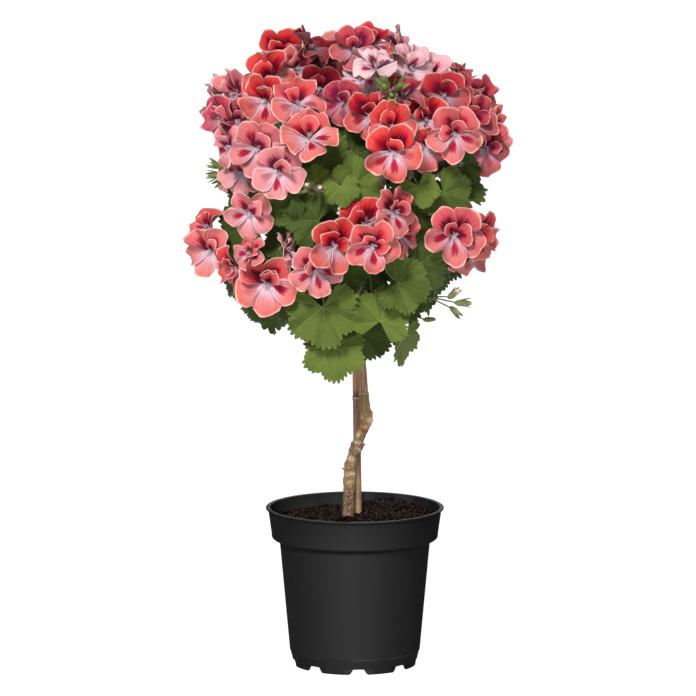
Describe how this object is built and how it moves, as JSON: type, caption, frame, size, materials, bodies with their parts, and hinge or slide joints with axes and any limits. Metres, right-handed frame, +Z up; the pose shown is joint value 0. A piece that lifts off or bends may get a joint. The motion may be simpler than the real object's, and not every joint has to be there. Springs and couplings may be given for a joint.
{
  "type": "potted regal pelargonium",
  "caption": "Regal pelargonium trained as a small standard tree: black pot with soil, bare woody trunk and cane, round crown of lobed leaves and ruffled salmon-red blooms.",
  "frame": {"origin": "on the surface that the pot stands on, under the middle of the pot", "axes": "+Z up along the pot's axis, the plant's front faces -Y, +X is the viewer's right"},
  "size_m": [0.3445, 0.355, 0.6908],
  "materials": {
    "pot_plastic": "satin",
    "peat": "matte",
    "bark": "matte",
    "bamboo": "satin",
    "green": "matte",
    "petals": "matte"
  },
  "bodies": {
    "root": {"bloom_head_a": "petals", "bloom_head_b": "petals", "bloom_head_c": "petals", "bloom_head_d": "petals", "bloom_head_e": "petals", "bloom_head_f": "petals", "bloom_head_g": "petals", "bloom_head_h": "petals", "bloom_head_i": "petals", "bloom_head_j": "petals", "bloom_head_k": "petals", "bloom_head_l": "petals", "bloom_head_m": "petals", "bloom_head_n": "petals", "bloom_head_o": "petals", "bloom_head_p": "green", "bloom_head_q": "green", "bloom_head_r0": "petals", "bloom_head_r1": "petals", "bloom_head_r2": "petals", "bloom_head_r3": "petals", "bloom_head_r4": "petals", "bloom_head_r5": "petals", "bloom_head_s": "petals", "bloom_head_t": "petals", "branch_a": "green", "branch_b": "green", "branch_c": "green", "branch_d": "green", "branch_e": "green", "branch_f": "green", "branch_g": "green", "branch_h": "green", "branch_i": "green", "branch_j": "green", "branch_k": "green", "branch_l": "green", "branch_m": "green", "branch_n": "green", "branch_o": "green", "branch_p": "green", "branch_q": "green", "branch_r0": "green", "branch_r1": "green", "branch_r2": "green", "branch_r3": "green", "branch_r4": "green", "branch_r5": "green", "branch_s": "green", "branch_t": "green", "cane": "bamboo", "leaf_shoot_0": "green", "leaf_shoot_1": "green", "leaf_shoot_2": "green", "pot": "pot_plastic", "soil": "peat", "trunk": "bark"}
  },
  "joints": []
}
